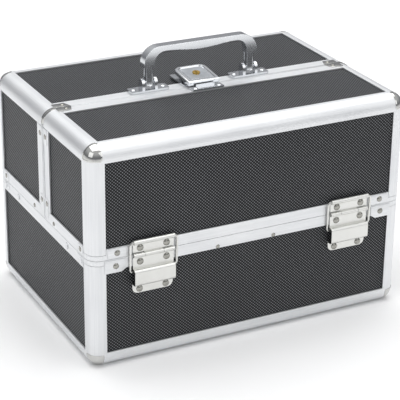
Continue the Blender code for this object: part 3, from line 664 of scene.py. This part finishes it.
# %% Plates and lips at the split
SPLIT = -0.008
SPLIT_GAP = 0.0004
STRIP_WIDTH = 0.0088
STRIP_TOP = 0.1985
STRIP_PLATE = (0.1385, 0.1240, 0.1270)  # its outer end, then its slanted inner end
STRIP_RIVET_X = 0.1300
STILE_PLATES = {"top": (0.1700, 0.1840), "bottom": (0.1110, 0.1210)}
STILE_FOOT = 0.1004
STILE_TOP = 0.1870
STILE_RIVET_SHIFT = 0.0010
TOE_LENGTH = 0.0050
TOE_TOP = 0.1060
LIP_WIDTH = 0.0013
LIP_RISE = 0.00035
LIP_END = 0.1235
for side, sign in SIDES.items():
    lid = f"{side}_lid"
    near = SPLIT + sign * SPLIT_GAP
    far = SPLIT + sign * STRIP_WIDTH
    middle = (near + far) / 2
    lip = near + sign * LIP_WIDTH
    for end, sx in ENDS.items():
        outer, inner_near, inner_far = STRIP_PLATE
        outline = ((outer, near), (inner_near, near), (inner_far, far), (outer, far))
        spots = [(sx * across, y, STRIP_TOP) for across, y in outline]
        corner_plate(f"{side}_{end}_strip_plate", lid, "up", spots, polished_nickel)
        add_rivet(lid, (sx * STRIP_RIVET_X, middle, STRIP_TOP + PLATE), "up", SMALL_RIVET)
        for part, (low, high) in STILE_PLATES.items():
            outline = [(near, low), (far, low), (far, high), (near, high)]
            if part == "bottom":
                toe = near + sign * TOE_LENGTH
                outline[:2] = [(near, STILE_FOOT), (toe, STILE_FOOT), (far, TOE_TOP)]
            spots = [(sx * END_X, y, z) for y, z in outline]
            corner_plate(f"{side}_{end}_{part}_stile_plate", lid, end, spots, rim_bar, END_PLATE)
            y = middle + sign * STILE_RIVET_SHIFT
            add_rivet(lid, (sx * (END_X + END_PLATE), y, (low + high) / 2), end, END_RIVET)
        outline = ((near, STILE_FOOT), (lip, STILE_FOOT), (lip, STILE_TOP), (near, STILE_TOP))
        spots = [(sx * END_X, y, z) for y, z in outline]
        corner_plate(f"{side}_{end}_stile_lip", lid, end, spots, rim_bar)
    outline = ((-LIP_END, near), (LIP_END, near), (LIP_END, lip), (-LIP_END, lip))
    spots = [(x, y, STRIP_TOP) for x, y in outline]
    corner_plate(f"{side}_strip_lip", lid, "up", spots, rim_bar, LIP_RISE)
print("plates and lips on strips", 1000 * STRIP_WIDTH, "mm wide")

# %% [markdown]
# ## Making the rivets
# A rivet's head is a shallow dome. A ball flattened along the rivet and half sunk in the metal is
# such a dome, and needs few faces. The rivets of one body are one piece.

# %% Making the rivets


def add_dome(shape, spot, way, size):
    radius, rise = size
    turn = way.to_track_quat("Z", "Y").to_matrix().to_4x4()
    flat = Matrix.Diagonal((radius, radius, rise, 1))
    bmesh.ops.create_uvsphere(
        shape,
        u_segments=16,
        v_segments=8,
        radius=1.0,
        matrix=Matrix.Translation(spot) @ turn @ flat,
    )


for body, found in rivets.items():
    shape = bmesh.new()
    for rivet in found:
        add_dome(shape, *rivet)
    shade_smooth(shape)
    place_piece(shape, f"{body}_rivets", rivet_steel, body)
print(sum(len(found) for found in rivets.values()), "rivets")

# %% [markdown]
# ## Bands at the split
# Where the lid is split, a pressed band goes round the quarter round of each end's top tube. It is
# a small four-sided section, spun a quarter turn round the tube's centre line.

# %% Bands at the split
ROUND = 0.011  # radius of the rounded extrusions
SUNK = 0.0006  # how far bands and collars reach into the metal
BAND_PROUD = 0.0006
BAND_WIDTH = 0.0020
BAND_CREST = 0.0016


def spun_section(shape, spots, centre, axis, angle, steps):
    start = shape.faces.new([shape.verts.new(spot) for spot in spots])
    spin(shape, [start, *start.edges, *start.verts], centre, axis, angle, steps)


def split_band(side, sign, end, sx):
    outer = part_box(f"{side}_lid_edge_frame")[1]
    centre = Vector((sx * (outer.x - ROUND), 0, outer.z - ROUND))
    near = SPLIT + sign * SPLIT_GAP
    section = (
        (ROUND - SUNK, near),
        (ROUND + BAND_PROUD, near),
        (ROUND + BAND_PROUD, near + sign * BAND_CREST),
        (ROUND - SUNK, near + sign * BAND_WIDTH),
    )
    spots = [(centre.x, y, centre.z + radius) for radius, y in section]
    shape = bmesh.new()
    spun_section(shape, spots, centre, (0, 1, 0), sx * pi / 2, 10)
    bmesh.ops.recalc_face_normals(shape, faces=shape.faces)
    shade_smooth(shape)
    name = f"{side}_{end}_split_collar"
    return place_piece(shape, name, polished_nickel, f"{side}_lid")


for side, sign in SIDES.items():
    for end, sx in ENDS.items():
        split_band(side, sign, end, sx)
print(len(SIDES) * len(ENDS), "bands")

# %% [markdown]
# ## Collars round the corner caps
# Each ball corner has a thin raised collar where an extrusion enters it, made the same way round
# the extrusion's own centre line. A lid's corners have three. The base's have only the one round
# the upright post, because the other two would stand below the case's foot.

# %% Collars
COLLAR_PROUD = 0.0003
COLLAR_WIDTH = 0.0012
CAPS_PARTED = 0.1  # height between the base's caps and the lids'


def collar_piece(node):
    low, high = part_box(node)
    middle = (low + high) / 2
    offsets = (middle.x, middle.y, middle.z - CAPS_PARTED)
    away = [1.0 if offset > 0 else -1.0 for offset in offsets]
    inner = [top if way < 0 else bottom for bottom, top, way in zip(low, high, away)]
    centre = Vector(inner)
    shape = bmesh.new()
    for axis in range(2 if "base" in node else 0, 3):
        first, second = (axis + 1) % 3, (axis + 2) % 3
        spots = []
        for radius, shift in (
            (ROUND - SUNK, 0.0),
            (ROUND + COLLAR_PROUD, 0.0),
            (ROUND + COLLAR_PROUD, COLLAR_WIDTH),
            (ROUND - SUNK, COLLAR_WIDTH),
        ):
            spot = centre.copy()
            spot[first] += away[first] * radius
            spot[axis] -= away[axis] * shift
            spots.append(spot)
        spin_axis = Vector((0, 0, 0))
        spin_axis[axis] = 1.0
        spun_section(shape, spots, centre, spin_axis, pi / 2 * away[first] * away[second], 8)
    bmesh.ops.recalc_face_normals(shape, faces=shape.faces)
    shade_smooth(shape)
    body = nodes[node]["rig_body"]
    return place_piece(shape, node + "_collar", polished_nickel, body)


caps = [node for node in nodes if "corner_cap" in node]
for node in caps:
    collar_piece(node)
print(len(caps), "caps with collars")

# %% [markdown]
# ## Handle
# The carrying handle is a chromed casting: a bowed grip on two square legs with a groove down each
# side. The solid's own grip is kept and its legs are cut away, and new legs are made from boxes
# whose long faces are inset and pushed in.

# %% Grip
PIN_RISE = 0.0033  # from the foot of a leg to its pin
GRIP_RISE = 0.0145  # from the pin to where the grip begins
low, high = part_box("handle")
handle_y = (low.y + high.y) / 2
leg_top = low.z + PIN_RISE + GRIP_RISE
grip = merged_copy("handle")
bmesh.ops.bisect_plane(
    grip,
    geom=grip.verts[:] + grip.edges[:] + grip.faces[:],
    dist=1e-7,
    plane_co=(0, 0, leg_top),
    plane_no=(0, 0, -1),
    clear_outer=True,
)
open_edges = [edge for edge in grip.edges if len(edge.link_faces) == 1]
bmesh.ops.holes_fill(grip, edges=open_edges, sides=0)
bmesh.ops.recalc_face_normals(grip, faces=grip.faces)
stand_for("handle", grip, chrome)
print("handle", round(1000 * (high.x - low.x)), "mm wide")

# %% Legs
LEG_X = 0.049
LEG = 0.0066
LEG_LIFT = 0.0004  # from the foot of the solid's leg
LEG_LAP = 0.004  # how far a leg reaches into the grip
LEG_EDGE = 0.0003
GROOVE_BORDER = 0.0014
GROOVE_DEPTH = 0.0009
leg_low = low.z + LEG_LIFT
leg_high = leg_top + LEG_LAP
for end, sx in ENDS.items():
    shape = bmesh.new()
    bmesh.ops.create_cube(shape, size=1.0)
    bmesh.ops.scale(shape, vec=(LEG, LEG, leg_high - leg_low), verts=shape.verts)
    middle = Vector((sx * LEG_X, handle_y, (leg_low + leg_high) / 2))
    bmesh.ops.translate(shape, vec=middle, verts=shape.verts)
    sides = [face for face in shape.faces if abs(face.normal.z) < 0.5]
    bmesh.ops.inset_individual(shape, faces=sides, thickness=GROOVE_BORDER, depth=-GROOVE_DEPTH)
    rims = [edge for edge in shape.edges if edge.calc_face_angle(0.0) > radians(80)]
    bevel(shape, rims, LEG_EDGE, 2)
    shade_smooth(shape)
    place_piece(shape, f"handle_{end}_grooved_leg", chrome, "handle")
print("legs", round(1000 * (leg_high - leg_low), 1), "mm long")

# %% [markdown]
# ## Lock lever
# The lock's lever is a pressed and chromed cover: square at the front, rounded at the back, with a
# thick rounded lip, a trough inside the lip, and a flat raised seat that holds the key's cylinder.
# The outline is inset again and again, and each ring is lifted or lowered. The cover is made level
# about its pivot, then tilted and moved to its place. The seat is plated, not chromed.

# %% Lock lever
LEVER_AXIS = Vector((0, 0.0165, 0.2043))
LEVER_TILT = radians(6)
LEVER_FRONT = -0.0279
LEVER_BACK = 0.0045
LEVER_HALF = 0.0153
LEVER_CORNER = 0.0070
LEVER_LOW = -0.0008
LEVER_HIGH = 0.0022
LEVER_STEPS = (  # inwards, then up
    (0.0006, 0.0007),
    (0.0010, 0.0003),
    (0.0012, -0.0002),
    (0.0005, -0.0010),
    (0.0014, 0.0),
    (0.0003, 0.0007),
)
shape = bmesh.new()
outline = (
    (-LEVER_HALF, LEVER_FRONT),
    (LEVER_HALF, LEVER_FRONT),
    (LEVER_HALF, LEVER_BACK),
    (-LEVER_HALF, LEVER_BACK),
)
verts = [shape.verts.new((x, y, LEVER_LOW)) for x, y in outline]
shape.faces.new(verts)
bevel(shape, verts[2:], LEVER_CORNER, 8, affect="VERTICES")
cover = push_out(shape, shape.faces[:][0], (0, 0, LEVER_HIGH - LEVER_LOW))
for inward, lift in LEVER_STEPS:
    bmesh.ops.inset_region(shape, faces=cover, thickness=inward, depth=0.0, use_even_offset=True)
    ring = list({vert for face in cover for vert in face.verts})
    bmesh.ops.translate(shape, vec=(0, 0, lift), verts=ring)
bmesh.ops.recalc_face_normals(shape, faces=shape.faces)
settle = Matrix.Translation(LEVER_AXIS) @ Matrix.Rotation(LEVER_TILT, 4, "X")
bmesh.ops.transform(shape, matrix=settle, verts=shape.verts)
for face in cover:
    face.material_index = 1
lever = stand_for("lock_lever", shape, chrome)
lever.data.materials.append(zinc)
print("lever", round(2000 * LEVER_HALF, 1), "mm wide")

# %% [markdown]
# ## Bezel round the key
# A thin chromed ring frames the brass cylinder. The four edges of a small section are spun right
# round the cylinder's axis, and the joint of the full spin is merged. A section with a face would
# leave one face inside the ring at every step.

# %% Key bezel
BEZEL_IN = 0.0023
BEZEL_OUT = 0.0041
BEZEL_SECTION = ((BEZEL_IN, 0), (BEZEL_OUT, 0), (BEZEL_OUT, 0.0004), (BEZEL_IN, 0.0006))
SEAT_RISE = 0.0003
low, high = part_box("lock_cylinder")
bezel_y = (low.y + high.y) / 2 - LEVER_AXIS.y
shape = bmesh.new()
ring = [shape.verts.new((radius, bezel_y, z)) for radius, z in BEZEL_SECTION]
loop = [shape.edges.new(pair) for pair in zip(ring, ring[1:] + ring[:1])]
spin(shape, loop + ring, (0, bezel_y, 0), (0, 0, 1), 2 * pi, 32)
bmesh.ops.recalc_face_normals(shape, faces=shape.faces)
bmesh.ops.translate(shape, vec=(0, 0, LEVER_HIGH + SEAT_RISE), verts=shape.verts)
bmesh.ops.transform(shape, matrix=settle, verts=shape.verts)
shade_smooth(shape)
place_piece(shape, "key_bezel", chrome, "lock_lever")
print("bezel", round(2000 * BEZEL_OUT, 1), "mm across")

# %% [markdown]
# ## Screws of the handle's brackets and of the catch
# Each bracket is held by a screw at both ends of its foot, and the catch by two. Their heads are
# domes like the rivets', but chromed.

# %% Screws
SCREW = (0.0021, 0.0009)
STRIP_FACE = 0.1988  # height of the faces that the fittings stand on
BRACKET_FOOT = 0.0022
BRACKET_INSET = 0.0040
CATCH_PLATE = 0.0012
CATCH_INSET = 0.0035
CATCH_SHIFT = 0.001
screws = {"rear_lid": [], "front_lid": []}
for end in ENDS:
    low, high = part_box(f"handle_{end}_bracket")
    for x in (low.x + BRACKET_INSET, high.x - BRACKET_INSET):
        screws["rear_lid"].append(Vector((x, handle_y, STRIP_FACE + BRACKET_FOOT)))
low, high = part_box("lock_catch")
catch_y = (low.y + high.y) / 2 - CATCH_SHIFT
for x in (low.x + CATCH_INSET, high.x - CATCH_INSET):
    screws["front_lid"].append(Vector((x, catch_y, STRIP_FACE + CATCH_PLATE)))
for body, spots in screws.items():
    shape = bmesh.new()
    for spot in spots:
        add_dome(shape, spot, WAYS["up"], SCREW)
    shade_smooth(shape)
    place_piece(shape, f"{body}_screws", chrome, body)
print(sum(len(spots) for spots in screws.values()), "screws")
